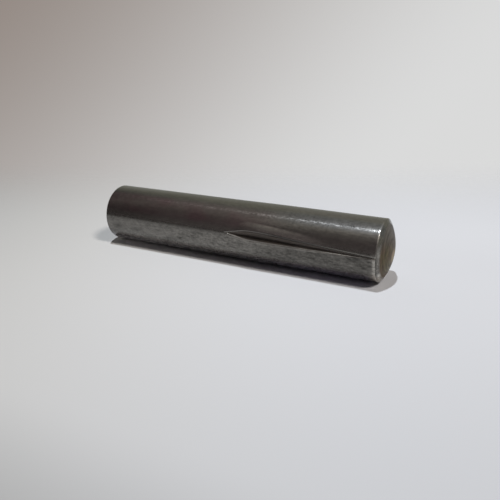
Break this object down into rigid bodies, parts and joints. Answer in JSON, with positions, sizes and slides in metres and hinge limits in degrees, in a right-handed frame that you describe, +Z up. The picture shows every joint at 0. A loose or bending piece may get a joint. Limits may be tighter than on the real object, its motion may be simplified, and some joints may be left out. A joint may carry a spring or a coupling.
{
  "type": "groove pin",
  "caption": "Crowned steel dowel with tapering V grooves rolled into half of its length; driven into a drilled hole, the raised groove lips grip the wall.",
  "frame": {"origin": "on the pin's axis, half way along its length", "axes": "+X along the pin towards its grooved end, +Z up as the pin lies, -Y towards the side with the first groove"},
  "size_m": [0.032, 0.0061, 0.0061],
  "materials": {
    "steel": "ground bare steel, darkened by oil, with a brown cast on the ends"
  },
  "bodies": {
    "root": {"pin": "steel"}
  },
  "joints": []
}
